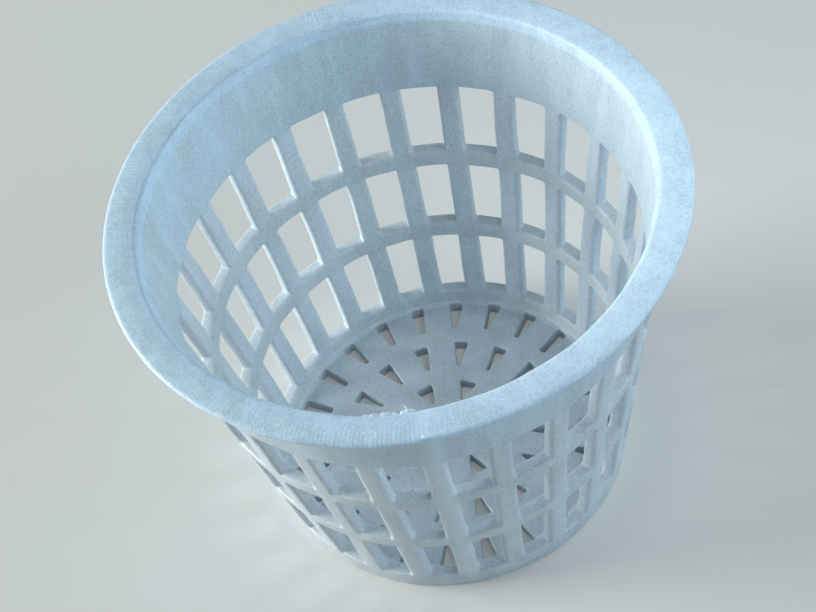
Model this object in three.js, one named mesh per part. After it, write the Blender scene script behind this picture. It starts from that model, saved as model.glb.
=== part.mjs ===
// Net pot: a slatted conical cup that hangs by its flat lip.
// Millimetres, +Z up, origin at the centre of the underside.
// The wall is a cone with three rows of windows between its upright ribs and level hoops.
// Heights are a stack from the underside up, and radii a stack from the floor's middle out.
// The first rib stands on +X, above a spoke of each ring of the floor.

import * as THREE from 'three';

// Heights, from the floor up
const FLOOR_THICKNESS = 2;
const BASE_BAND_ABOVE_FLOOR = 2;
const BOTTOM_WINDOW_HEIGHT = 11;
const LOWER_HOOP_HEIGHT = 2.5;
const MIDDLE_WINDOW_HEIGHT = 11.1;
const UPPER_HOOP_HEIGHT = 2.6;
const TOP_WINDOW_HEIGHT = 11.5;
const COLLAR_HEIGHT = 12.1;
const LIP_THICKNESS = 1.2;

// Floor, from its middle out: each ring of slots is wider at its outer end
const HUB_RADIUS = 5.7;
const INNER_SLOTS = { count: 8, length: 3.5, innerWidth: 0.3, outerWidth: 2.9 };
const MIDDLE_RING_WIDTH = 2.8;
const MIDDLE_SLOTS = { count: 16, length: 4.6, innerWidth: 0.5, outerWidth: 2.3 };
const OUTER_RING_WIDTH = 2.7;
const OUTER_SLOTS = { count: 24, length: 4.9, innerWidth: 0.85, outerWidth: 2.1 };
const FLOOR_LEDGE = 0.16;

// Wall and lip: the taper is what the radius gains for each millimetre of height
const WALL_TAPER = 0.19;
const WALL_THICKNESS = 2;
const RIB_COUNT = 24;
const RIB_WIDTH = 3.1;
const HOOP_THICKNESS_BEHIND_RIB = 1;
const LIP_OVERHANG = 3;

// Roundness: points of a circle between one rib or slot and the next, and steps of the lip's edge
const WALL_POINTS = 2;
const SPOKE_POINTS = 2;
const HUB_SPOKE_POINTS = 4;
const LIP_EDGE_STEPS = 6;

// Finish
const PLASTIC = { color: 0xb4c6d2, roughness: 0.45, metalness: 0 };

const baseBandTop = FLOOR_THICKNESS + BASE_BAND_ABOVE_FLOOR;
const lowerHoopBottom = baseBandTop + BOTTOM_WINDOW_HEIGHT;
const lowerHoopTop = lowerHoopBottom + LOWER_HOOP_HEIGHT;
const upperHoopBottom = lowerHoopTop + MIDDLE_WINDOW_HEIGHT;
const upperHoopTop = upperHoopBottom + UPPER_HOOP_HEIGHT;
const collarBottom = upperHoopTop + TOP_WINDOW_HEIGHT;
const lipUnderside = collarBottom + COLLAR_HEIGHT;
const rimTop = lipUnderside + LIP_THICKNESS;

const innerSlotEnd = HUB_RADIUS + INNER_SLOTS.length;
const middleSlotStart = innerSlotEnd + MIDDLE_RING_WIDTH;
const middleSlotEnd = middleSlotStart + MIDDLE_SLOTS.length;
const outerSlotStart = middleSlotEnd + OUTER_RING_WIDTH;
const outerSlotEnd = outerSlotStart + OUTER_SLOTS.length;

function plastic() {
  return new THREE.MeshStandardMaterial(PLASTIC);
}

function wallInner(z) {
  return outerSlotEnd + FLOOR_LEDGE + WALL_TAPER * z;
}

function wallMiddle(z) {
  return wallInner(z) + HOOP_THICKNESS_BEHIND_RIB;
}

function wallOuter(z) {
  return wallInner(z) + WALL_THICKNESS;
}

function polar(radius, angle, z) {
  return new THREE.Vector3(radius * Math.cos(angle), radius * Math.sin(angle), z);
}

// Points on a circle from one angle to another, both left out
function arcBetween(radius, start, end, z, points) {
  return Array.from(
    { length: points },
    (_, k) => polar(radius, start + ((end - start) * (k + 1)) / (points + 1), z),
  );
}

// Ribs stand at whole pitches from +X, and slots at half pitches.
// The flat side of either meets a circle at this angle: side is -1 or +1.
function sideAngle(centre, side, width, radius) {
  return centre + side * Math.asin(width / 2 / radius);
}

function ribAngle(index, side, radius) {
  return sideAngle((2 * Math.PI * index) / RIB_COUNT, side, RIB_WIDTH, radius);
}

function ribCorner(index, side, radius, z) {
  return polar(radius, ribAngle(index, side, radius), z);
}

const ribIndexes = Array.from({ length: RIB_COUNT }, (_, index) => index);

// The stretch of a circle between a rib and the next one, with both corners
function windowArc(index, radius, z) {
  return [
    ribCorner(index, 1, radius, z),
    ...arcBetween(radius, ribAngle(index, 1, radius), ribAngle(index + 1, -1, radius), z, WALL_POINTS),
    ribCorner(index + 1, -1, radius, z),
  ];
}

function wallCircle(radius, z) {
  return ribIndexes.flatMap((index) => windowArc(index, radius, z));
}

// The stretch of a circle on the spoke between a slot and the next one, with both corners
function spokeArc(slots, index, width, radius, z, points) {
  const pitch = (2 * Math.PI) / slots.count;
  const start = sideAngle(pitch * (index - 0.5), 1, width, radius);
  const end = sideAngle(pitch * (index + 0.5), -1, width, radius);
  return [polar(radius, start, z), ...arcBetween(radius, start, end, z, points), polar(radius, end, z)];
}

function spokeArcs(slots, width, radius, z, points) {
  return Array.from({ length: slots.count }, (_, index) => spokeArc(slots, index, width, radius, z, points));
}

// The circle through the outer ends of a ring of slots
function slotEndCircle(slots, radius, z, points) {
  return spokeArcs(slots, slots.outerWidth, radius, z, points).flat();
}

// Each spoke of a ring of slots, from its root to its tip and back
function spokes(slots, rootRadius, tipRadius, z, points) {
  const roots = spokeArcs(slots, slots.innerWidth, rootRadius, z, 0);
  const tips = spokeArcs(slots, slots.outerWidth, tipRadius, z, points);
  return roots.map(([first, last], index) => [first, ...tips[index], last]);
}

function addQuad(triangles, a, b, c, d) {
  triangles.push(a, b, c, a, c, d);
}

// The skin between two loops of equally many points, facing out where upper lies above lower
function addSkin(triangles, lower, upper) {
  lower.forEach((point, k) => {
    const next = (k + 1) % lower.length;
    addQuad(triangles, point, lower[next], upper[next], upper[k]);
  });
}

// Level triangles between two loops round the axis, by the shorter diagonal at each step
function levelStrip(inner, outer) {
  const faces = [];
  let i = 0;
  let j = 0;
  while (i < inner.length || j < outer.length) {
    const from = inner[i % inner.length];
    const across = outer[j % outer.length];
    const nextInner = inner[(i + 1) % inner.length];
    const nextOuter = outer[(j + 1) % outer.length];
    const innerIsNearer = nextInner.distanceTo(across) < nextOuter.distanceTo(from);
    if (j === outer.length || (i < inner.length && innerIsNearer)) {
      faces.push([from, across, nextInner]);
      i += 1;
    } else {
      faces.push([from, across, nextOuter]);
      j += 1;
    }
  }
  return faces;
}

// Triangles of a convex outline, from its first point
function fan(points) {
  return points.slice(2).map((point, k) => [points[0], points[k + 1], point]);
}

// Level triangles of a ring with teeth, or of a disc with teeth where there is no hole
function toothedFaces(teeth, hole) {
  const root = teeth.flatMap((tooth) => [tooth[0], tooth[tooth.length - 1]]);
  const disc = [new THREE.Vector3(0, 0, root[0].z), ...root, root[0]];
  return [...(hole.length ? levelStrip(hole, root) : fan(disc)), ...teeth.flatMap(fan)];
}

function addLevelFaces(triangles, faces, facesUp) {
  for (const [a, b, c] of faces) {
    triangles.push(a, ...(facesUp ? [b, c] : [c, b]));
  }
}

function solid(triangles) {
  const geometry = new THREE.BufferGeometry().setFromPoints(triangles);
  geometry.computeVertexNormals();
  return geometry;
}

// A ring whose section is a closed run of circles: out along the bottom, up, and in along the top
function ringOfSection(circles) {
  const triangles = [];
  circles.forEach((loop, k) => addSkin(triangles, loop, circles[(k + 1) % circles.length]));
  return solid(triangles);
}

// A ring with teeth between two levels: teethAt and holeAt give its outlines at a height
function toothedRing(bottom, top, teethAt, holeAt) {
  const triangles = [];
  addSkin(triangles, teethAt(bottom).flat(), teethAt(top).flat());
  addSkin(triangles, holeAt(top), holeAt(bottom));
  addLevelFaces(triangles, toothedFaces(teethAt(bottom), holeAt(bottom)), false);
  addLevelFaces(triangles, toothedFaces(teethAt(top), holeAt(top)), true);
  return solid(triangles);
}

// The flat lip with its half-round edge
function rimLip() {
  const edgeRadius = LIP_THICKNESS / 2;
  const edgeCentre = wallOuter(rimTop) + LIP_OVERHANG - edgeRadius;
  const edge = Array.from({ length: LIP_EDGE_STEPS + 1 }, (_, k) => {
    const turn = (Math.PI * k) / LIP_EDGE_STEPS - Math.PI / 2;
    const z = lipUnderside + edgeRadius + edgeRadius * Math.sin(turn);
    return wallCircle(edgeCentre + edgeRadius * Math.cos(turn), z);
  });
  return ringOfSection([
    wallCircle(wallInner(lipUnderside), lipUnderside),
    wallCircle(wallOuter(lipUnderside), lipUnderside),
    ...edge,
    wallCircle(wallInner(rimTop), rimTop),
  ]);
}

function collarBand() {
  return ringOfSection([
    wallCircle(wallInner(collarBottom), collarBottom),
    wallCircle(wallOuter(collarBottom), collarBottom),
    wallCircle(wallOuter(lipUnderside), lipUnderside),
    wallCircle(wallInner(lipUnderside), lipUnderside),
  ]);
}

// The foot of the wall, with the ledge that the floor's spokes end on
function baseBand() {
  const ledge = (z) => slotEndCircle(OUTER_SLOTS, outerSlotEnd, z, SPOKE_POINTS);
  const inner = (z) => wallCircle(wallInner(z), z);
  const outer = (z) => wallCircle(wallOuter(z), z);
  const triangles = [];
  addLevelFaces(triangles, levelStrip(ledge(0), outer(0)), false);
  addSkin(triangles, outer(0), outer(baseBandTop));
  addLevelFaces(triangles, levelStrip(inner(baseBandTop), outer(baseBandTop)), true);
  addSkin(triangles, inner(baseBandTop), inner(FLOOR_THICKNESS));
  addLevelFaces(triangles, levelStrip(ledge(FLOOR_THICKNESS), inner(FLOOR_THICKNESS)), true);
  addSkin(triangles, ledge(FLOOR_THICKNESS), ledge(0));
  return solid(triangles);
}

// The inner part of the wall behind the ribs, with a tooth of full thickness between each two
function hoop(bottom, top) {
  const teethAt = (z) => ribIndexes.map((index) => [
    ribCorner(index, 1, wallMiddle(z), z),
    ...windowArc(index, wallOuter(z), z),
    ribCorner(index + 1, -1, wallMiddle(z), z),
  ]);
  return toothedRing(bottom, top, teethAt, (z) => wallCircle(wallInner(z), z));
}

// A slat with flat sides: full thickness at the windows, and the outer part of the wall at the hoops
function rib(index) {
  const windows = [
    [baseBandTop, lowerHoopBottom],
    [lowerHoopTop, upperHoopBottom],
    [upperHoopTop, collarBottom],
  ];
  const hoops = [
    [lowerHoopBottom, lowerHoopTop],
    [upperHoopBottom, upperHoopTop],
  ];
  const triangles = [];
  const corner = (side, radiusAt, z) => ribCorner(index, side, radiusAt(z), z);

  const addUpright = (bottom, top, firstSide, firstRadius, lastSide, lastRadius) => addQuad(
    triangles,
    corner(firstSide, firstRadius, bottom),
    corner(lastSide, lastRadius, bottom),
    corner(lastSide, lastRadius, top),
    corner(firstSide, firstRadius, top),
  );

  const addSides = (bottom, top, inner, outer) => {
    addUpright(bottom, top, 1, outer, 1, inner);
    addUpright(bottom, top, -1, inner, -1, outer);
  };

  const addLevel = (z, inner, outer, facesUp) => {
    const loop = [corner(-1, inner, z), corner(-1, outer, z), corner(1, outer, z), corner(1, inner, z)];
    addQuad(triangles, ...(facesUp ? loop : loop.reverse()));
  };

  for (const [bottom, top] of [...windows, ...hoops]) {
    addSides(bottom, top, wallMiddle, wallOuter);
    addUpright(bottom, top, -1, wallOuter, 1, wallOuter);
  }
  for (const [bottom, top] of hoops) {
    addUpright(bottom, top, 1, wallMiddle, -1, wallMiddle);
  }
  for (const [bottom, top] of windows) {
    addSides(bottom, top, wallInner, wallMiddle);
    addUpright(bottom, top, 1, wallInner, -1, wallInner);
    addLevel(bottom, wallInner, wallMiddle, false);
    addLevel(top, wallInner, wallMiddle, true);
  }
  addLevel(baseBandTop, wallMiddle, wallOuter, false);
  addLevel(collarBottom, wallMiddle, wallOuter, true);
  return solid(triangles);
}

function floorOuterGrille() {
  return toothedRing(
    0,
    FLOOR_THICKNESS,
    (z) => spokes(OUTER_SLOTS, outerSlotStart, outerSlotEnd, z, SPOKE_POINTS),
    (z) => slotEndCircle(MIDDLE_SLOTS, middleSlotEnd, z, SPOKE_POINTS),
  );
}

function floorMiddleGrille() {
  return toothedRing(
    0,
    FLOOR_THICKNESS,
    (z) => spokes(MIDDLE_SLOTS, middleSlotStart, middleSlotEnd, z, SPOKE_POINTS),
    (z) => slotEndCircle(INNER_SLOTS, innerSlotEnd, z, HUB_SPOKE_POINTS),
  );
}

function floorHub() {
  return toothedRing(
    0,
    FLOOR_THICKNESS,
    (z) => spokes(INNER_SLOTS, HUB_RADIUS, innerSlotEnd, z, HUB_SPOKE_POINTS),
    () => [],
  );
}

const pot = new THREE.Group();

function addPiece(name, geometry) {
  const mesh = new THREE.Mesh(geometry, plastic());
  mesh.name = name;
  pot.add(mesh);
}

addPiece('rim_lip', rimLip());
addPiece('collar_band', collarBand());
for (const index of ribIndexes) {
  addPiece(`rib_${String(index + 1).padStart(2, '0')}`, rib(index));
}
addPiece('upper_hoop', hoop(upperHoopBottom, upperHoopTop));
addPiece('lower_hoop', hoop(lowerHoopBottom, lowerHoopTop));
addPiece('base_band', baseBand());
addPiece('floor_outer_grille', floorOuterGrille());
addPiece('floor_middle_grille', floorMiddleGrille());
addPiece('floor_hub', floorHub());

export default pot;
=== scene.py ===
"""The looks of the net pot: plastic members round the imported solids, their material, light and camera."""

import math
from collections import defaultdict, namedtuple
from itertools import product

import bmesh
import bpy
from mathutils import Matrix, Vector, noise


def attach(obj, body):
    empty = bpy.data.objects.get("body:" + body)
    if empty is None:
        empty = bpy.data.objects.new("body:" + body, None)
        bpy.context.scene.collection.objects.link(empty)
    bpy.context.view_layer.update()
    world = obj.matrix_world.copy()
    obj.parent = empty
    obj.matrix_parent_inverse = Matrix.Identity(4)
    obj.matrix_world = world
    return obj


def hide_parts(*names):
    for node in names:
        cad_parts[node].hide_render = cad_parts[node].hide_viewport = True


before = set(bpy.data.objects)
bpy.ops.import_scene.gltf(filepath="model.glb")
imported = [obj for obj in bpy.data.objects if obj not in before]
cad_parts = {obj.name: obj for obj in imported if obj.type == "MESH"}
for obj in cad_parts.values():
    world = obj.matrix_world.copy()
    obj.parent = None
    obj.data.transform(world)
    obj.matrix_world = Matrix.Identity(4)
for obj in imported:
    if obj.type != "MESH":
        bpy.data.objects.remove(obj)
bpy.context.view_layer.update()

# Sizes in millimetres, as in the solids
MM = 0.001
RIB_COUNT = 24
PITCH = 2 * math.pi / RIB_COUNT
HALF_PITCH = PITCH / 2
HALF_RIB = 1.55
WALL = 2.0
INNER_RADIUS_AT_BASE = 24.36
TAPER = 0.19
FLOOR_TOP = 2.0
WINDOW_ROWS = ((4.0, 15.0), (17.5, 28.6), (31.2, 42.7))
COLLAR_TOP = 54.8
POT_TOP = 56.0
LIP_RADIUS = 39.9
LEDGE_RADIUS = INNER_RADIUS_AT_BASE

# Roundings of the edges and corners
SIDE_EDGE = 0.65
END_EDGE = 0.4
WINDOW_CORNER = 0.25
REACH = HALF_RIB + WINDOW_CORNER
LIP_EDGE = 0.58
LIP_SLOPE = 0.9
LIP_CROWN = 0.1
LIP_FILLET = 0.45
MOUTH_EDGE = 0.8
FLOOR_FILLET = 0.35
FOOT_EDGE = 0.4
FOOT_TOP = 1.7

# Heights where the lattice meets the plain rings, and where the collar meets the lip
BASE_SPINE = 3.1
COLLAR_SPINE = 44.0
LIP_SEAM = 54.3

# Fineness of the meshes
EDGE_STEPS = 4
FLAT_STEPS = 2
CORNER_STEPS = 6
TAB_STEPS = 3
SIDE_STEPS = 7
RIB_STEPS = 3
COLLAR_STEPS = 8
MOUTH_STEPS = 5
CROWN_STEPS = 4
SLOPE_STEPS = 7
UNDER_SHARES = (0.4, 0.65)
SLOT_STEPS = 4
FLANK_STEPS = 3
RING_STATIONS = (
    *(REACH * k / RIB_STEPS for k in range(RIB_STEPS)),
    *(REACH + k / TAB_STEPS for k in range(TAB_STEPS + 1)),
)

# Floor slots: how many, with the radius and width of the inner end and of the outer end
Slots = namedtuple("Slots", "count start start_width stop stop_width")
INNER_SLOTS = Slots(8, 5.7, 0.3, 9.2, 2.9)
MIDDLE_SLOTS = Slots(16, 12.0, 0.5, 16.6, 2.3)
OUTER_SLOTS = Slots(24, 19.3, 0.85, 24.2, 2.1)
SLOT_EDGE = 0.22
SLOT_END_EDGE = 0.1
SLOT_CORNER = 0.35
SLOT_TIP_SHARE = 0.98
HUB_RADIUS = 4.6
HUB_SHARES = (1.0, 0.55, 0.2)

# Unevenness of the plastic, which fades towards the underside, the top and the edge of the lip
LONG_WAVE = 9.0
LONG_SWAY = 0.16
SHORT_WAVE = 2.2
SHORT_SWAY = 0.05
UNEVEN_SEED = 7
SHORT_SHIFT = Vector((31.0, 7.0, 3.0))
TOP_FADE = 4.0
EDGE_FADE = 3.0
EDGE_FADE_START = 30.0
LEAST_SWAY = 0.25

# The upright seam of the layers on the outside
SEAM_TURN = math.radians(270.9)
SEAM_HALF = 0.95
SEAM_HEIGHT = 0.28
# How wide the painted highlight along the seam is, where it starts and where it is full
SEAM_HIGHLIGHT_SPREAD = (1.7, 0.3)
SEAM_FOOT = WINDOW_ROWS[-1][1] + 1
OUTSIDE_SHARE = 0.9

# The drips at the mouth as (azimuth, radius, height, size), and the hair beside them as (radius, height)
DRIP_LENGTH = 1.3
DRIP_THICKNESS = 0.8
DRIP_FINENESS = 3
DRIPS = (
    (259.3, 35.4, 55.6, 0.34),
    (260.9, 35.4, 55.53, 0.54),
    (262.0, 35.3, 55.45, 0.4),
    (263.1, 35.2, 55.45, 0.5),
    (263.9, 35.1, 55.4, 0.42),
    (265.1, 35.1, 55.4, 0.34),
    (267.1, 35.15, 55.5, 0.42),
    (268.0, 35.05, 55.45, 0.5),
    (268.8, 35.1, 55.5, 0.36),
    (270.6, 39.35, 55.65, 0.4),
    (271.9, 39.4, 55.6, 0.34),
    (273.3, 39.45, 55.55, 0.28),
)
HAIR = ((35.3, 55.6), (34.9, 55.75), (34.5, 55.8), (34.15, 55.7), (33.9, 55.5))
HAIR_TURN = math.radians(267.4)
HAIR_RADIUS = 0.12
HAIR_THINNING = 0.6
HAIR_SWAY = 0.25
HAIR_CURL = 1.3
HAIR_SIDES = 8

# Tones of the plastic
# Partly painted light: the lip gets a lighter, bluer tone than the rest of the same plastic, standing in for
# the bluish light that falls on its top.
LIP_LIT_TONE = (0.62, 0.79, 0.96)
COLLAR_TONE = (0.6, 0.725, 0.82)
RIB_TONE = (0.67, 0.755, 0.83)
HOOP_TONE = (0.635, 0.715, 0.775)
# Painted shade: the floor gets a darker tone than the rest of the same plastic, standing in for the shade
# deep inside the pot.
FLOOR_SHADED_TONE = (0.51, 0.585, 0.65)
DRIP_TONE = (0.72, 0.86, 0.98)
GREYING = (0.94, 0.93, 0.92)

# Patterns of the plastic: the grain in millimetres, and the noise where a pattern starts and where it is full
Pattern = namedtuple("Pattern", "grain detail roughness low high")
CLOUDS = Pattern(7.0, 3.0, 0.5, 0.38, 0.62)
STREAKS = Pattern(3.0, 2.0, 0.5, 0.42, 0.66)
STREAK_STRETCH = (1, 1, 0.06)
GRAINS = Pattern(0.25, 2.0, 0.7, 0.5, 0.72)
SPECKS = Pattern(0.36, 3.0, 0.75, 0.42, 0.72)
POLISH = Pattern(0.8, 3.0, 0.5, 0.3, 0.7)

# How much of each pattern is laid over the tone, and how bright it is beside the tone
CLOUD_BRIGHTNESS = 1.04
STREAK_SHARE, STREAK_BRIGHTNESS = 0.6, 1.2
GRAIN_SHARE, GRAIN_BRIGHTNESS = 0.8, 0.72
SPECK_SHARE, SPECK_BRIGHTNESS = 0.7, 1.3
# Painted highlight: a lighter band along the seam stands in for the gloss that the seam's ridge catches.
SEAM_HIGHLIGHT_SHARE, SEAM_HIGHLIGHT_BRIGHTNESS = 0.4, 1.3

# Layer lines, strokes and grooves: pitch or count, how they waver as (grain, radians), and depth
LAYER = 0.3
LAYER_WAVER = (6.0, 2.5)
LAYER_DEPTH = 0.03
STROKE = 0.55
STROKE_WAVER = (3.0, 4.0)
STROKE_DEPTH = 0.016
GROOVES = 420.0
GROOVE_WAVER = (4.0, 9.0)
GROOVE_BAND = (36.6, 38.2)

# Dents and pores as (grain, detail, roughness of the noise), their depth, and the gloss
DENTS = (1.6, 2.0, 0.5)
DENT_DEPTH = 0.09
PORES = (0.45, 2.0, 0.6)
PORE_DEPTH = 0.03
ROUGHNESS = (0.3, 0.52)
PLASTIC_IOR = 1.46

# The ground and the backdrop, in metres
GROUND_SIZE = 4
GROUND_TONE = (0.7, 0.7, 0.69, 1)
GROUND_ROUGHNESS = 0.9
GROUND_GLOW = (1, 1, 0.98, 1)
GROUND_LIFT = 0.12
GROUND_FADE = (0.2, 0.5)
BACKDROP = (0.64, 0.664, 0.672, 1)

# Lamps a metre away as (name, azimuth, elevation, size, power, colour), and near ones with their place
FAR_LAMPS = (
    ("key_left", 172, 17, 0.5, 11.2, (1.0, 1.0, 0.92)),
    ("high_left", 160, 38, 0.7, 1.6, (0.54, 0.8, 1.0)),
    ("back_right", 15, 22, 0.5, 1.2, (0.62, 0.87, 1.0)),
    ("fill_right", 330, 10, 0.6, 3.4, (0.62, 0.85, 1.0)),
)
NEAR_LAMPS = (
    ("near_front", (0.1, -0.1, 0.18), 0.1, 0.018, (0.9, 0.98, 1.0)),
    ("near_right", (0.075, 0.0, 0.125), 0.05, 0.034, (0.9, 1.0, 1.0)),
)
WORLD_TONE = (0.78, 0.91, 1.0, 1)
WORLD_STRENGTH = 0.1

# The camera
CAMERA_PLACE = Vector((19.758, -199.059, 277.69)) * MM
CAMERA_AIM = Vector((-2.158, 3.993, 28.0)) * MM
CAMERA_ROLL = math.radians(-14.5972)
CAMERA_LENS = 98.787
CAMERA_SENSOR = 36
CAMERA_CLIP = 0.01

# Colour sockets of a mix node, which come after its sockets for numbers and vectors
MIX_FIRST, MIX_SECOND, MIX_RESULT = 6, 7, 2

# How close two points are the same place
WELD = 0.001
NEIGHBOURS = tuple(product((-1, 0, 1), repeat=3))


def wall_inner(height):
    return INNER_RADIUS_AT_BASE + TAPER * height


def uneven(x, y, z):
    """The place in the real, slightly uneven plastic of a point of the perfect shape."""
    place = Vector((x, y, z))
    drift = noise.noise_vector(place / LONG_WAVE) * LONG_SWAY
    drift += noise.noise_vector(place / SHORT_WAVE + SHORT_SHIFT) * SHORT_SWAY
    drift.z *= min(1.0, z / FLOOR_TOP) * min(1.0, max(0.0, (POT_TOP - z) / TOP_FADE))
    radius = math.hypot(x, y)
    if radius > EDGE_FADE_START:
        drift *= min(1.0, max(LEAST_SWAY, (LIP_RADIUS - radius) / EDGE_FADE))
    return place + drift + seam_push(x, y, z)


def seam_push(x, y, z):
    """How far the seam stands out of the outside at a point of the perfect shape."""
    radius = math.hypot(x, y)
    turn = (math.atan2(y, x) - SEAM_TURN + math.pi) % (2 * math.pi) - math.pi
    off = abs(turn) * radius / SEAM_HALF
    outside = radius > wall_inner(z) + WALL * OUTSIDE_SHARE and z > SEAM_FOOT
    past_lip = radius > LIP_RADIUS - LIP_EDGE / 2
    if off >= 1 or not outside or past_lip:
        return Vector((0, 0, 0))
    return Vector((x, y, 0)).normalized() * SEAM_HEIGHT * (1 - off)


def turn_across(across, radius):
    """How far round a point is from a rib's centre line. across is a length up to REACH, and beyond it a
    share of the way on to the middle of the window."""
    edge = math.asin(min(across, REACH) / radius)
    if across > REACH:
        edge += (across - REACH) * (HALF_PITCH - edge)
    return edge


def ring_point(rib, side, across, radius, height):
    """A point beside a rib, in the uneven plastic."""
    angle = rib * PITCH + side * turn_across(across, radius)
    return uneven(radius * math.cos(angle), radius * math.sin(angle), height)


def edge_loop(size, step):
    """How far out from the opening a loop of its rounded edge lies, and how deep below the face."""
    turn = math.pi / 2 * step / EDGE_STEPS
    return size * (1 - math.cos(turn)), size * (1 - math.sin(turn))


def between(start, end, share):
    return start + (end - start) * share


class Pieces:
    """The faces of every piece by its node's name, over places that all the pieces share."""

    def __init__(self):
        self.places = []
        self.known = {}
        self.cells = {}
        self.faces = defaultdict(list)

    def place(self, point):
        """The number of a place. Points closer together than WELD are one place."""
        exact = tuple(point)
        if exact not in self.known:
            cell = [math.floor(value / WELD) for value in exact]
            near = (self.cells.get((cell[0] + i, cell[1] + j, cell[2] + k)) for i, j, k in NEIGHBOURS)
            found = [n for n in near if n is not None and (self.places[n] - point).length < WELD]
            if not found:
                found = [len(self.places)]
                self.places.append(point)
                self.cells[tuple(cell)] = found[0]
            self.known[exact] = found[0]
        return self.known[exact]

    def add(self, node, corners, seen=True):
        loop = list(dict.fromkeys(self.place(point) for point in corners))
        if len(loop) > 2:
            self.faces[node].append((loop, seen))

    def strip(self, node, first, second, seen=True):
        for k in range(len(first) - 1):
            self.add(node, (first[k], first[k + 1], second[k + 1], second[k]), seen)


pieces = Pieces()


def rib_name(rib):
    return f"rib_{rib % RIB_COUNT + 1:02d}"


# The lattice of the wall

def window_stations(low, high, spine_low, spine_high):
    """Half the outline of a window, as (foot, way, edge size, point of the spine)."""
    stations = []
    for up, end, spine in ((-1, low, spine_low), (1, high, spine_high)):
        centre = (REACH, end - up * WINDOW_CORNER)
        half = []
        for k in range(TAB_STEPS):
            across = REACH + 1 - k / TAB_STEPS
            half.append(((across, end), (0, up), END_EDGE, (across, spine)))
        for k in range(CORNER_STEPS + 1):
            turn = math.pi / 2 * k / CORNER_STEPS
            way = (-math.sin(turn), up * math.cos(turn))
            foot = (centre[0] + WINDOW_CORNER * way[0], centre[1] + WINDOW_CORNER * way[1])
            share = 2 * k / CORNER_STEPS
            if share <= 1:
                goal = (between(REACH, 0, share), spine)
            else:
                goal = (0, between(spine, centre[1], share - 1))
            half.append((foot, way, between(END_EDGE, SIDE_EDGE, k / CORNER_STEPS), goal))
        stations.append(half)
    low_half, high_half = stations
    start, stop = low + WINDOW_CORNER, high - WINDOW_CORNER
    sides = []
    for k in range(1, SIDE_STEPS):
        height = between(start, stop, k / SIDE_STEPS)
        sides.append(((HALF_RIB, height), (-1, 0), SIDE_EDGE, (0, height)))
    return low_half + sides + high_half[::-1]


def station_points(station):
    """The points of one station from the opening to the spine: across, height and depth below the face."""
    foot, way, size, spine = station
    points = []
    for step in range(EDGE_STEPS + 1):
        out, deep = edge_loop(size, step)
        points.append((foot[0] + way[0] * out, foot[1] + way[1] * out, deep))
    last = points[-1]
    for step in range(1, FLAT_STEPS + 1):
        share = step / FLAT_STEPS
        points.append((between(last[0], spine[0], share), between(last[1], spine[1], share), 0.0))
    return points


def placed(rib, side, points, layer):
    """A station's points on the outer face, the inner face or the middle of the wall."""
    result = []
    for across, height, deep in points:
        depth = {"outer": WALL - deep, "inner": deep, "middle": WALL / 2}[layer]
        result.append(ring_point(rib, side, across, wall_inner(height) + depth, height))
    return result


def window_part(k):
    """The part of a window's half outline that the stretch from station k to the next lies in."""
    count = TAB_STEPS + CORNER_STEPS
    if k < TAB_STEPS:
        return "low_tab"
    if k < count:
        return "low_corner"
    if k < count + SIDE_STEPS:
        return "side"
    if k < count + SIDE_STEPS + CORNER_STEPS:
        return "high_corner"
    return "high_tab"


def owners(part, rib, low_ring, high_ring):
    """The nodes that hold the inner and the outer half of the wall in a part of the lattice."""
    if part == "side":
        return rib, rib
    ring = low_ring if part.startswith("low") else high_ring
    crossing = part.endswith("corner") and ring.endswith("hoop")
    return ring, rib if crossing else ring


def half_window(rib, side, stations, low_ring, high_ring):
    name = rib_name(rib)
    outer = [placed(rib, side, station_points(s), "outer") for s in stations]
    inner = [placed(rib, side, station_points(s), "inner") for s in stations]
    middle = [placed(rib, side, station_points(s), "middle") for s in stations]
    for k in range(len(stations) - 1):
        inside, outside = owners(window_part(k), name, low_ring, high_ring)
        pieces.strip(outside, outer[k], outer[k + 1])
        pieces.strip(inside, inner[k], inner[k + 1])
        pieces.add(outside, (outer[k][0], outer[k + 1][0], middle[k + 1][0], middle[k][0]))
        pieces.add(inside, (inner[k][0], inner[k + 1][0], middle[k + 1][0], middle[k][0]))
        if inside != outside:
            pieces.strip(inside, middle[k], middle[k + 1], seen=False)
            pieces.strip(outside, middle[k], middle[k + 1], seen=False)
    for k in range(1, len(stations) - 1):
        before = owners(window_part(k - 1), name, low_ring, high_ring)
        after = owners(window_part(k), name, low_ring, high_ring)
        for layer, face in enumerate((inner, outer)):
            if before[layer] != after[layer]:
                pieces.strip(before[layer], face[k], middle[k], seen=False)
                pieces.strip(after[layer], face[k], middle[k], seen=False)


def lattice():
    rings = ("base_band", "lower_hoop", "upper_hoop", "collar_band")
    spines = [BASE_SPINE]
    for below, above in zip(WINDOW_ROWS, WINDOW_ROWS[1:]):
        spines.append((below[1] + above[0]) / 2)
    spines.append(COLLAR_SPINE)
    for row, (low, high) in enumerate(WINDOW_ROWS):
        stations = window_stations(low, high, spines[row], spines[row + 1])
        for rib in range(RIB_COUNT):
            for side in (-1, 1):
                half_window(rib, side, stations, rings[row], rings[row + 1])


# The rings above and below the lattice

def turned(node, profile, seen=True):
    """A profile of (radius, height) points carried round the pot."""
    for rib in range(RIB_COUNT):
        for side in (-1, 1):
            for near, far in zip(RING_STATIONS, RING_STATIONS[1:]):
                first = [ring_point(rib, side, near, *p) for p in profile]
                second = [ring_point(rib, side, far, *p) for p in profile]
                pieces.strip(node, first, second, seen)


def arc(centre, size, start, end, steps):
    """Points of a rounding, with its angles in degrees."""
    points = []
    for k in range(steps + 1):
        turn = math.radians(between(start, end, k / steps))
        points.append((centre[0] + size * math.cos(turn), centre[1] + size * math.sin(turn)))
    return points


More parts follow.
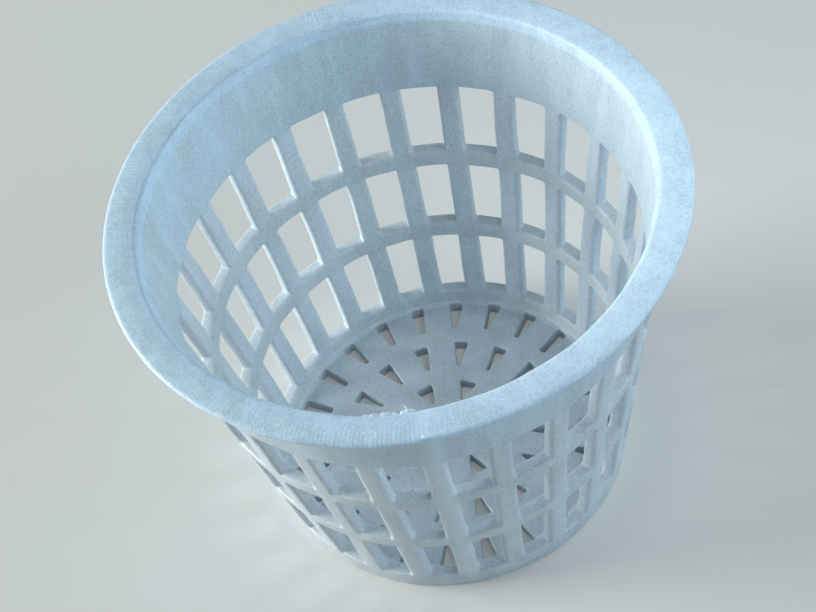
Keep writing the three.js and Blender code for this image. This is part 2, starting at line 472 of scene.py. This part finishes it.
def upright(depth, low, high, steps):
    heights = [between(low, high, k / steps) for k in range(steps + 1)]
    return [(wall_inner(height) + depth, height) for height in heights]


def collar():
    for depth in (0, WALL):
        turned("collar_band", upright(depth, COLLAR_SPINE, LIP_SEAM, COLLAR_STEPS))
    turned("collar_band", seam_ring(), seen=False)


def seam_ring():
    """The profile of the hidden face between the collar and the lip."""
    return [(wall_inner(LIP_SEAM), LIP_SEAM), (wall_inner(LIP_SEAM) + WALL, LIP_SEAM)]


def lip():
    mouth = wall_inner(POT_TOP)
    under = COLLAR_TOP
    outside = wall_inner(under) + WALL
    edge_top = POT_TOP - LIP_CROWN
    ridge = LIP_RADIUS - LIP_SLOPE
    slope = LIP_EDGE - LIP_CROWN
    profile = [(wall_inner(LIP_SEAM), LIP_SEAM), (wall_inner(under), under)]
    profile += arc((mouth + MOUTH_EDGE, edge_top - MOUTH_EDGE), MOUTH_EDGE, 180, 95, MOUTH_STEPS)
    for k in range(CROWN_STEPS):
        share = k / CROWN_STEPS
        rise = LIP_CROWN * math.sin(math.pi * share)
        profile.append((between(mouth + MOUTH_EDGE, ridge, share), edge_top + rise))
    for radius, height in arc((0, 0), 1.0, 90, 0, SLOPE_STEPS):
        profile.append((ridge + LIP_SLOPE * radius, edge_top - slope * (1 - height)))
    profile += arc((LIP_RADIUS - LIP_EDGE, POT_TOP - LIP_EDGE), LIP_EDGE, 0, -90, EDGE_STEPS)[1:-1]
    profile.append((LIP_RADIUS - LIP_EDGE, under))
    profile += [(between(LIP_RADIUS, outside, share), under) for share in UNDER_SHARES]
    profile += arc((outside + LIP_FILLET, under - LIP_FILLET), LIP_FILLET, 90, 180, EDGE_STEPS)
    profile.append((wall_inner(LIP_SEAM) + WALL, LIP_SEAM))
    turned("rim_lip", profile)
    turned("rim_lip", seam_ring(), seen=False)


def base():
    inside = wall_inner(FLOOR_TOP)
    profile = [(wall_inner(BASE_SPINE), BASE_SPINE)]
    profile += arc((inside - FLOOR_FILLET, FLOOR_TOP + FLOOR_FILLET), FLOOR_FILLET, 0, -90, EDGE_STEPS)
    profile.append((LEDGE_RADIUS, FLOOR_TOP))
    turned("base_band", profile)
    profile = [(wall_inner(height) + WALL, height) for height in (BASE_SPINE, FOOT_TOP)]
    profile += arc((wall_inner(FOOT_EDGE) + WALL - FOOT_EDGE, FOOT_EDGE), FOOT_EDGE, 0, -90, EDGE_STEPS)
    profile.append((LEDGE_RADIUS, 0.0))
    turned("base_band", profile)


# The floor and its slots

# A station is a point of a slot's edge, with the way out of the slot and the goal beyond it
Station = namedtuple("Station", "foot way size goal part")
INWARD = Vector((-1, 0))
OUTWARD = Vector((1, 0))


def slot_outline(slots, inner_goals, outer_goals, outer_edge):
    """The stations of half a slot in the slot's own frame, from its inner end to its outer end."""
    along = Vector((slots.stop - slots.start, (slots.stop_width - slots.start_width) / 2)).normalized()
    aside = Vector((-along.y, along.x))
    tip = slots.start_width / 2 * SLOT_TIP_SHARE
    low_rise = slots.start_width / 2 - tip * (1 + aside.x) / aside.y
    low_centre = Vector((slots.start + tip, low_rise))
    high_rise = slots.stop_width / 2 - SLOT_CORNER * (1 - aside.x) / aside.y
    high_centre = Vector((slots.stop - SLOT_CORNER, high_rise))
    flank_start = low_centre + aside * tip
    flank_end = high_centre + aside * SLOT_CORNER
    low_ray = ray_foot(flank_start, aside, slots)
    high_ray = ray_foot(flank_end, aside, slots)

    stations = [Station(Vector((slots.start, 0)), INWARD, SLOT_EDGE, inner_goals[0], "low")]
    goals = inner_goals[1:] + [between(inner_goals[-1], low_ray, share) for share in (0.5, 1.0)]
    for k, goal in enumerate(goals):
        way = turned_way(INWARD, aside, k / (len(goals) - 1))
        stations.append(Station(low_centre + way * tip, way, SLOT_EDGE, goal, "low"))
    for k in range(1, FLANK_STEPS):
        foot = between(flank_start, flank_end, k / FLANK_STEPS)
        stations.append(Station(foot, aside, SLOT_EDGE, ray_foot(foot, aside, slots), "low"))
    goals = [between(high_ray, outer_goals[0], share) for share in (0.0, 0.5)] + outer_goals[:-2]
    for k, goal in enumerate(goals):
        share = k / (len(goals) - 1)
        way = turned_way(aside, OUTWARD, share)
        size = between(SLOT_EDGE, outer_edge, share)
        stations.append(Station(high_centre + way * SLOT_CORNER, way, size, goal, "high"))
    for share, goal in zip((0.5, 0.0), outer_goals[-2:]):
        foot = Vector((slots.stop, high_centre.y * share))
        stations.append(Station(foot, OUTWARD, outer_edge, goal, "high"))
    return stations


def turned_way(first, second, share):
    """The direction between two directions, turned at an even rate."""
    start = math.atan2(first.y, first.x)
    end = math.atan2(second.y, second.x)
    turn = between(start, end, share)
    return Vector((math.cos(turn), math.sin(turn)))


def ray_foot(point, way, slots):
    """Where a line from a slot's side meets the middle of the spoke beside it."""
    spoke = math.pi / slots.count
    sine, cosine = math.sin(spoke), math.cos(spoke)
    reach = (point.x * sine - point.y * cosine) / (way.y * cosine - way.x * sine)
    return point + way * reach


def circle_goals(radius, slots, steps):
    """Points of a circle in a slot's frame, from the slot's middle to the middle of the spoke beside it."""
    turns = [math.pi / slots.count * k / steps for k in range(steps + 1)]
    return [Vector((radius * math.cos(turn), radius * math.sin(turn))) for turn in turns]


def ledge_goals():
    """The points of the ledge from the middle of a spoke to the middle of a slot, in the slot's frame."""
    turns = [HALF_PITCH - turn_across(across, LEDGE_RADIUS) for across in RING_STATIONS]
    return [Vector((LEDGE_RADIUS * math.cos(turn), LEDGE_RADIUS * math.sin(turn))) for turn in turns]


def slot_loops(station):
    """The points of one station from the slot to its goal, each with its depth below the face."""
    loops = []
    for step in range(EDGE_STEPS + 1):
        out, deep = edge_loop(station.size, step)
        loops.append((station.foot + station.way * out, deep))
    last = loops[-1][0]
    for step in range(1, FLAT_STEPS + 1):
        loops.append((between(last, station.goal, step / FLAT_STEPS), 0.0))
    return loops


def floor_point(angle, side, place, height):
    """A point of the uneven floor, from its place in the frame of the slot at an angle."""
    turn = angle + side * math.atan2(place.y, place.x)
    radius = place.length
    return uneven(radius * math.cos(turn), radius * math.sin(turn), height)


def half_slot(angle, side, stations, inner_node, outer_node):
    tops, bottoms = [], []
    for station in stations:
        loops = slot_loops(station)
        tops.append([floor_point(angle, side, place, FLOOR_TOP - deep) for place, deep in loops])
        bottoms.append([floor_point(angle, side, place, deep) for place, deep in loops])
    for k in range(len(stations) - 1):
        node = outer_node if stations[k].part == "high" else inner_node
        pieces.strip(node, tops[k], tops[k + 1])
        pieces.strip(node, bottoms[k], bottoms[k + 1])
        pieces.add(node, (tops[k][0], tops[k + 1][0], bottoms[k + 1][0], bottoms[k][0]))
        if stations[k].part != stations[k + 1].part:
            for piece in (inner_node, outer_node):
                pieces.strip(piece, tops[k + 1], bottoms[k + 1], seen=False)


def slots_ring(slots, inner_goals, outer_goals, outer_edge, inner_node, outer_node):
    stations = slot_outline(slots, inner_goals, outer_goals, outer_edge)
    for k in range(slots.count):
        angle = (k + 0.5) * 2 * math.pi / slots.count
        for side in (-1, 1):
            half_slot(angle, side, stations, inner_node, outer_node)


def hub_middle():
    """The closed middle of the floor, inside the inner slots."""
    count = 2 * INNER_SLOTS.count * SLOT_STEPS
    for height in (0.0, FLOOR_TOP):
        rings = []
        for share in HUB_SHARES:
            place = Vector((HUB_RADIUS * share, 0))
            ring = [floor_point(2 * math.pi * k / count, 1, place, height) for k in range(count)]
            rings.append(ring + ring[:1])
        for outer_ring, inner_ring in zip(rings, rings[1:]):
            pieces.strip("floor_hub", outer_ring, inner_ring)
        centre = floor_point(0, 1, Vector((0, 0)), height)
        for k in range(count):
            pieces.add("floor_hub", (rings[-1][k], rings[-1][k + 1], centre))


def ring_goals(slots, beyond):
    """The goals on the ring between two rounds of slots, seen from the outer ends of the inner round."""
    steps = SLOT_STEPS * beyond.count // slots.count
    return circle_goals((slots.stop + beyond.start) / 2, slots, steps)[::-1]


def floor():
    hub_middle()
    radius = HUB_RADIUS
    nodes = ("floor_hub", "floor_middle_grille", "floor_outer_grille")
    rounds = (INNER_SLOTS, MIDDLE_SLOTS, OUTER_SLOTS)
    for slots, beyond, inner_node, outer_node in zip(rounds, rounds[1:], nodes, nodes[1:]):
        goals = circle_goals(radius, slots, SLOT_STEPS)
        slots_ring(slots, goals, ring_goals(slots, beyond), SLOT_EDGE, inner_node, outer_node)
        radius = (slots.stop + beyond.start) / 2
    goals = circle_goals(radius, OUTER_SLOTS, SLOT_STEPS)
    slots_ring(OUTER_SLOTS, goals, ledge_goals(), SLOT_END_EDGE, nodes[-1], "base_band")


# From faces to pieces

def piece_mesh(node, faces):
    """A closed mesh of a piece, which keeps the numbers of its places and which faces can be seen."""
    bm = bmesh.new()
    number = bm.verts.layers.int.new("number")
    seen_mark = bm.faces.layers.int.new("seen")
    corners = {}
    for loop, seen in faces:
        for place in loop:
            if place not in corners:
                corners[place] = bm.verts.new(pieces.places[place])
                corners[place][number] = place
        face = bm.faces.new([corners[place] for place in loop])
        face.smooth = True
        face[seen_mark] = int(seen)
    bmesh.ops.recalc_face_normals(bm, faces=bm.faces)
    mesh = bpy.data.meshes.new(f"{node}_plastic")
    bm.to_mesh(mesh)
    bm.free()
    return mesh


def corner_angles(mesh, polygon):
    """The angle of a face at each of its corners, which weighs its part in the shared normal."""
    places = [mesh.vertices[k].co for k in polygon.vertices]
    angles = []
    for k, place in enumerate(places):
        before = places[k - 1] - place
        after = places[(k + 1) % len(places)] - place
        angles.append(before.angle(after, 0.0))
    return angles


def shared_normals(meshes):
    """The smooth normal of every seen place, over all the pieces that meet there."""
    normals = defaultdict(lambda: Vector((0, 0, 0)))
    for mesh in meshes:
        number = mesh.attributes["number"].data
        seen = mesh.attributes["seen"].data
        for polygon in mesh.polygons:
            if seen[polygon.index].value:
                for vertex, angle in zip(polygon.vertices, corner_angles(mesh, polygon)):
                    normals[number[vertex].value] += polygon.normal * angle
    return normals


def set_normals(mesh, normals):
    """Gives the seen faces the shared normals, so that no line shows where two pieces meet."""
    number = mesh.attributes["number"].data
    seen = mesh.attributes["seen"].data
    split = [None] * len(mesh.loops)
    for polygon in mesh.polygons:
        for index in polygon.loop_indices:
            place = number[mesh.loops[index].vertex_index].value
            shared = seen[polygon.index].value
            split[index] = normals[place].normalized() if shared else polygon.normal.copy()
    mesh.normals_split_custom_set(split)
    for name in ("number", "seen"):
        mesh.attributes.remove(mesh.attributes[name])


def make_pieces(materials):
    """The piece of every node, which rides on the pot's one body and stands for the node."""
    meshes = {node: piece_mesh(node, faces) for node, faces in pieces.faces.items()}
    normals = shared_normals(meshes.values())
    for node, mesh in meshes.items():
        set_normals(mesh, normals)
        mesh.transform(Matrix.Scale(MM, 4))
        mesh.materials.append(materials[node.split("_")[0]])
        piece = bpy.data.objects.new(f"{node}_plastic", mesh)
        bpy.context.scene.collection.objects.link(piece)
        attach(piece, "root")
        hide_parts(node)


def own_piece(name, bm, material):
    """A small piece of its own, from a mesh in millimetres."""
    mesh = bpy.data.meshes.new(name)
    bm.to_mesh(mesh)
    bm.free()
    mesh.transform(Matrix.Scale(MM, 4))
    mesh.polygons.foreach_set("use_smooth", [True] * len(mesh.polygons))
    mesh.materials.append(material)
    piece = bpy.data.objects.new(name, mesh)
    bpy.context.scene.collection.objects.link(piece)
    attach(piece, "root")


def drips(material):
    """Small drops of plastic along the front of the mouth's edge."""
    bm = bmesh.new()
    for azimuth, radius, height, size in DRIPS:
        turn = Matrix.Rotation(math.radians(azimuth), 4, "Z")
        place = Matrix.Translation((radius, 0, height))
        shape = Matrix.Diagonal((size, size * DRIP_LENGTH, size * DRIP_THICKNESS, 1))
        whole = turn @ place @ shape
        bmesh.ops.create_icosphere(bm, subdivisions=DRIP_FINENESS, radius=1.0, matrix=whole)
    own_piece("mouth_drips", bm, material)


def hair(material):
    """The thin hair of plastic that hangs from the front of the mouth."""
    bm = bmesh.new()
    rings = []
    for k, (radius, height) in enumerate(HAIR):
        size = HAIR_RADIUS * (1 - HAIR_THINNING * k / len(HAIR))
        sway = HAIR_SWAY * math.sin(HAIR_CURL * k)
        ring = []
        for n in range(HAIR_SIDES):
            turn = 2 * math.pi * n / HAIR_SIDES
            point = Vector((radius, sway + size * math.cos(turn), height + size * math.sin(turn)))
            ring.append(bm.verts.new(Matrix.Rotation(HAIR_TURN, 3, "Z") @ point))
        rings.append(ring)
    for first, second in zip(rings, rings[1:]):
        for n in range(HAIR_SIDES):
            after = (n + 1) % HAIR_SIDES
            bm.faces.new((first[n], first[after], second[after], second[n]))
    bm.faces.new(rings[0])
    bm.faces.new(rings[-1])
    bmesh.ops.recalc_face_normals(bm, faces=bm.faces)
    own_piece("mouth_hair", bm, material)


# Materials

class Nodes:
    """Short ways to add nodes to a material."""

    def __init__(self, material):
        material.use_nodes = True
        self.tree = material.node_tree
        self.shader = self.tree.nodes["Principled BSDF"]
        self.place = self.tree.nodes.new("ShaderNodeTexCoord").outputs["Object"]
        parts = self.tree.nodes.new("ShaderNodeSeparateXYZ")
        self.tree.links.new(self.place, parts.inputs[0])
        self.x, self.y, self.z = parts.outputs

    def join(self, value, socket):
        if isinstance(value, bpy.types.NodeSocket):
            self.tree.links.new(value, socket)
        else:
            socket.default_value = value

    def math(self, kind, *values):
        node = self.tree.nodes.new("ShaderNodeMath")
        node.operation = kind
        for value, socket in zip(values, node.inputs):
            self.join(value, socket)
        return node.outputs[0]

    def noise(self, grain, detail=2.0, roughness=0.5, stretch=(1, 1, 1)):
        """Noise whose grain is a length in millimetres, about 0 to 1."""
        mapping = self.tree.nodes.new("ShaderNodeMapping")
        self.join(self.place, mapping.inputs["Vector"])
        mapping.inputs["Scale"].default_value = stretch
        node = self.tree.nodes.new("ShaderNodeTexNoise")
        self.join(mapping.outputs[0], node.inputs["Vector"])
        node.inputs["Scale"].default_value = 1 / (grain * MM)
        node.inputs["Detail"].default_value = detail
        node.inputs["Roughness"].default_value = roughness
        return node.outputs["Fac"]

    def pattern(self, pattern, stretch=(1, 1, 1)):
        """0 where a pattern is absent and 1 where it is full."""
        value = self.noise(pattern.grain, pattern.detail, pattern.roughness, stretch)
        return self.ramp(value, pattern.low, pattern.high)

    def waves(self, turns, waver):
        """Even waves from 0 to 1, which waver by a noise of some grain and depth."""
        grain, depth = waver
        shift = self.math("MULTIPLY", self.noise(grain), depth)
        return self.ramp(self.math("SINE", self.math("ADD", turns, shift)), -1.0, 1.0)

    def ramp(self, value, low, high, start=0.0, end=1.0):
        """A value carried from the range between low and high to the one between start and end."""
        node = self.tree.nodes.new("ShaderNodeMapRange")
        for item, socket in zip((value, low, high, start, end), node.inputs):
            self.join(item, socket)
        return node.outputs[0]

    def mix(self, share, first, second):
        """A share of the second colour in the first."""
        node = self.tree.nodes.new("ShaderNodeMix")
        node.data_type = "RGBA"
        self.join(share, node.inputs["Factor"])
        self.join(first, node.inputs[MIX_FIRST])
        self.join(second, node.inputs[MIX_SECOND])
        return node.outputs[MIX_RESULT]

    def lay(self, colour, pattern, share, over):
        """A colour with a share of another over it, where the pattern is."""
        return self.mix(self.math("MULTIPLY", pattern, share), colour, over)

    def bump(self, height, depth, under=None):
        """A bump whose depth is a length in millimetres."""
        node = self.tree.nodes.new("ShaderNodeBump")
        node.inputs["Distance"].default_value = depth * MM
        self.join(height, node.inputs["Height"])
        if under is not None:
            self.join(under, node.inputs["Normal"])
        return node.outputs[0]


def shade(tone, brightness):
    return tuple(value * brightness for value in tone) + (1,)


def plastic_colour(nodes, tone):
    """Pale bluish plastic: greyer clouds, upright streaks, fine milky specks, darker grains and a painted
    highlight along the seam.
    """
    grey = tuple(value * share for value, share in zip(tone, GREYING))
    streaks = nodes.pattern(STREAKS, STREAK_STRETCH)
    colour = nodes.mix(nodes.pattern(CLOUDS), shade(tone, CLOUD_BRIGHTNESS), shade(grey, 1.0))
    colour = nodes.lay(colour, streaks, STREAK_SHARE, shade(tone, STREAK_BRIGHTNESS))
    colour = nodes.lay(colour, nodes.pattern(GRAINS), GRAIN_SHARE, shade(grey, GRAIN_BRIGHTNESS))
    colour = nodes.lay(colour, nodes.pattern(SPECKS), SPECK_SHARE, shade(tone, SPECK_BRIGHTNESS))
    # A painted highlight: the tone is lightened along the seam, standing in for the gloss on its ridge.
    return nodes.lay(colour, seam_highlight_band(nodes), SEAM_HIGHLIGHT_SHARE, shade(tone, SEAM_HIGHLIGHT_BRIGHTNESS))


def seam_highlight_band(nodes):
    """Where the painted highlight of the seam lies: 1 along the line where the layers start and end, and 0
    away from it and on the far side of the pot.
    """
    x, y = nodes.x, nodes.y
    along, aside = math.cos(SEAM_TURN), math.sin(SEAM_TURN)
    off = nodes.math("SUBTRACT", nodes.math("MULTIPLY", x, aside), nodes.math("MULTIPLY", y, along))
    out = nodes.math("ADD", nodes.math("MULTIPLY", x, along), nodes.math("MULTIPLY", y, aside))
    near = nodes.ramp(nodes.math("ABSOLUTE", off), SEAM_HIGHLIGHT_SPREAD[0] * MM, SEAM_HIGHLIGHT_SPREAD[1] * MM)
    return nodes.math("MULTIPLY", near, nodes.math("GREATER_THAN", out, 0.0))


def layer_lines(nodes):
    """Height of the fine level lines that the plastic was laid in, which waver a little."""
    return nodes.waves(nodes.math("MULTIPLY", nodes.z, 2 * math.pi / (LAYER * MM)), LAYER_WAVER)


def upright_share(nodes):
    """1 where the face stands upright and 0 where it is level."""
    node = nodes.tree.nodes.new("ShaderNodeNewGeometry")
    parts = nodes.tree.nodes.new("ShaderNodeSeparateXYZ")
    nodes.join(node.outputs["Normal"], parts.inputs[0])
    return nodes.math("SUBTRACT", 1.0, nodes.math("ABSOLUTE", parts.outputs["Z"]))


def raster_lines(nodes):
    """Height of the slanting strokes that level faces are filled with."""
    across = nodes.math("ADD", nodes.x, nodes.y)
    return nodes.waves(nodes.math("MULTIPLY", across, 2 * math.pi / (STROKE * MM)), STROKE_WAVER)


def axis_distance(nodes):
    """How far a point is from the pot's axis."""
    squares = [nodes.math("MULTIPLY", value, value) for value in (nodes.x, nodes.y)]
    return nodes.math("SQRT", nodes.math("ADD", *squares))


def rim_lines(nodes):
    """Height of the short grooves that run outwards across the edge of the lip."""
    turns = nodes.math("MULTIPLY", nodes.math("ARCTAN2", nodes.y, nodes.x), GROOVES)
    edge = nodes.ramp(axis_distance(nodes), GROOVE_BAND[0] * MM, GROOVE_BAND[1] * MM)
    return nodes.math("MULTIPLY", nodes.waves(turns, GROOVE_WAVER), edge)


def plastic(name, tone, lines):
    """The plastic of one kind of member, where lines adds the strokes that this member alone shows."""
    material = bpy.data.materials.new(name)
    nodes = Nodes(material)
    shader = nodes.shader
    nodes.join(plastic_colour(nodes, tone), shader.inputs["Base Color"])
    polish = nodes.noise(POLISH.grain, POLISH.detail, POLISH.roughness)
    rough = nodes.ramp(polish, POLISH.low, POLISH.high, *ROUGHNESS)
    nodes.join(rough, shader.inputs["Roughness"])
    shader.inputs["IOR"].default_value = PLASTIC_IOR
    upright = upright_share(nodes)
    normal = nodes.bump(nodes.math("MULTIPLY", layer_lines(nodes), upright), LAYER_DEPTH)
    if lines:
        level = nodes.math("SUBTRACT", 1.0, upright)
        normal = nodes.bump(nodes.math("MULTIPLY", lines(nodes), level), STROKE_DEPTH, normal)
    for bumps, depth in ((DENTS, DENT_DEPTH), (PORES, PORE_DEPTH)):
        normal = nodes.bump(nodes.noise(*bumps), depth, normal)
    nodes.join(normal, shader.inputs["Normal"])
    return material


def plastics():
    """The material of each kind of member, by the first word of its node's name."""
    hoops = plastic("plastic_hoops", HOOP_TONE, None)
    return {
        # The lip's plastic carries the lighter, bluer tone that is partly painted light from above.
        "rim": plastic("plastic_lip_lit", LIP_LIT_TONE, rim_lines),
        "drip": plastic("plastic_drips", DRIP_TONE, None),
        "collar": plastic("plastic_collar", COLLAR_TONE, None),
        "upper": hoops,
        "lower": hoops,
        "base": hoops,
        # The floor's plastic carries the darker tone of painted shade.
        "floor": plastic("plastic_floor_shaded", FLOOR_SHADED_TONE, raster_lines),
        "rib": plastic("plastic_ribs", RIB_TONE, None),
    }


def seen_share(tree):
    """1 for what is seen straight, in a gloss or through glass, and 0 for what only lights the pot."""
    path = tree.nodes.new("ShaderNodeLightPath")
    share = path.outputs["Is Camera Ray"]
    for name in ("Is Glossy Ray", "Is Transmission Ray"):
        either = tree.nodes.new("ShaderNodeMath")
        either.operation = "MAXIMUM"
        tree.links.new(share, either.inputs[0])
        tree.links.new(path.outputs[name], either.inputs[1])
        share = either.outputs[0]
    return share


def blend_shaders(tree, share, first, second, output):
    """Shows a share of the second shader in the first."""
    blend = tree.nodes.new("ShaderNodeMixShader")
    for socket, value in zip(blend.inputs, (share, first, second)):
        tree.links.new(value, socket)
    tree.links.new(blend.outputs[0], output.inputs["Surface"])


def pale_floor():
    """A pale floor that takes the pot's shadow and fades into the backdrop further out."""
    bpy.ops.mesh.primitive_plane_add(size=GROUND_SIZE)
    ground = bpy.context.object
    ground.name = "ground"
    material = bpy.data.materials.new("pale_ground")
    nodes = Nodes(material)
    tree, shader = nodes.tree, nodes.shader
    seen = seen_share(tree)
    shader.inputs["Base Color"].default_value = GROUND_TONE
    shader.inputs["Roughness"].default_value = GROUND_ROUGHNESS
    shader.inputs["Specular IOR Level"].default_value = 0.0
    shader.inputs["Emission Color"].default_value = GROUND_GLOW
    nodes.join(nodes.math("MULTIPLY", seen, GROUND_LIFT), shader.inputs["Emission Strength"])
    far = tree.nodes.new("ShaderNodeEmission")
    far.inputs["Color"].default_value = BACKDROP
    share = nodes.math("MULTIPLY", seen, nodes.ramp(axis_distance(nodes), *GROUND_FADE))
    blend_shaders(tree, share, shader.outputs[0], far.outputs[0], tree.nodes["Material Output"])
    ground.data.materials.append(material)


# Light and camera

def lamp(name, place, size, power, colour):
    """A soft square lamp that faces the pot."""
    data = bpy.data.lights.new(name, "AREA")
    data.size = size
    data.energy = power
    data.color = colour
    obj = bpy.data.objects.new(name, data)
    bpy.context.scene.collection.objects.link(obj)
    turn = (-place).to_track_quat("-Z", "Y").to_matrix().to_4x4()
    obj.matrix_world = Matrix.Translation(place) @ turn
    obj.visible_camera = False


def far_place(azimuth, elevation):
    """A place a metre from the pot, from angles in degrees."""
    turn, rise = math.radians(azimuth), math.radians(elevation)
    return Vector((math.cos(rise) * math.cos(turn), math.cos(rise) * math.sin(turn), math.sin(rise)))


def lights():
    for name, azimuth, elevation, size, power, colour in FAR_LAMPS:
        lamp(name, far_place(azimuth, elevation), size, power, colour)
    for name, place, size, power, colour in NEAR_LAMPS:
        lamp(name, Vector(place), size, power, colour)


def surroundings():
    """A world that lights the pot faintly and is seen as the pale backdrop."""
    world = bpy.data.worlds.new("world")
    bpy.context.scene.world = world
    world.use_nodes = True
    tree = world.node_tree
    background = tree.nodes["Background"]
    background.inputs["Color"].default_value = WORLD_TONE
    background.inputs["Strength"].default_value = WORLD_STRENGTH
    backdrop = tree.nodes.new("ShaderNodeBackground")
    backdrop.inputs["Color"].default_value = BACKDROP
    shaders = (background.outputs[0], backdrop.outputs[0])
    blend_shaders(tree, seen_share(tree), *shaders, tree.nodes["World Output"])


def camera():
    data = bpy.data.cameras.new("camera")
    data.lens = CAMERA_LENS
    data.sensor_width = CAMERA_SENSOR
    data.clip_start = CAMERA_CLIP
    obj = bpy.data.objects.new("camera", data)
    bpy.context.scene.collection.objects.link(obj)
    aim = (CAMERA_AIM - CAMERA_PLACE).to_track_quat("-Z", "Y").to_matrix()
    turn = aim @ Matrix.Rotation(CAMERA_ROLL, 3, "Z")
    obj.matrix_world = Matrix.Translation(CAMERA_PLACE) @ turn.to_4x4()
    bpy.context.scene.camera = obj


noise.seed_set(UNEVEN_SEED)
camera()
pale_floor()
lights()
surroundings()
lattice()
collar()
lip()
base()
floor()
materials = plastics()
make_pieces(materials)
drips(materials["drip"])
hair(materials["drip"])
bpy.context.scene.view_settings.view_transform = "Standard"
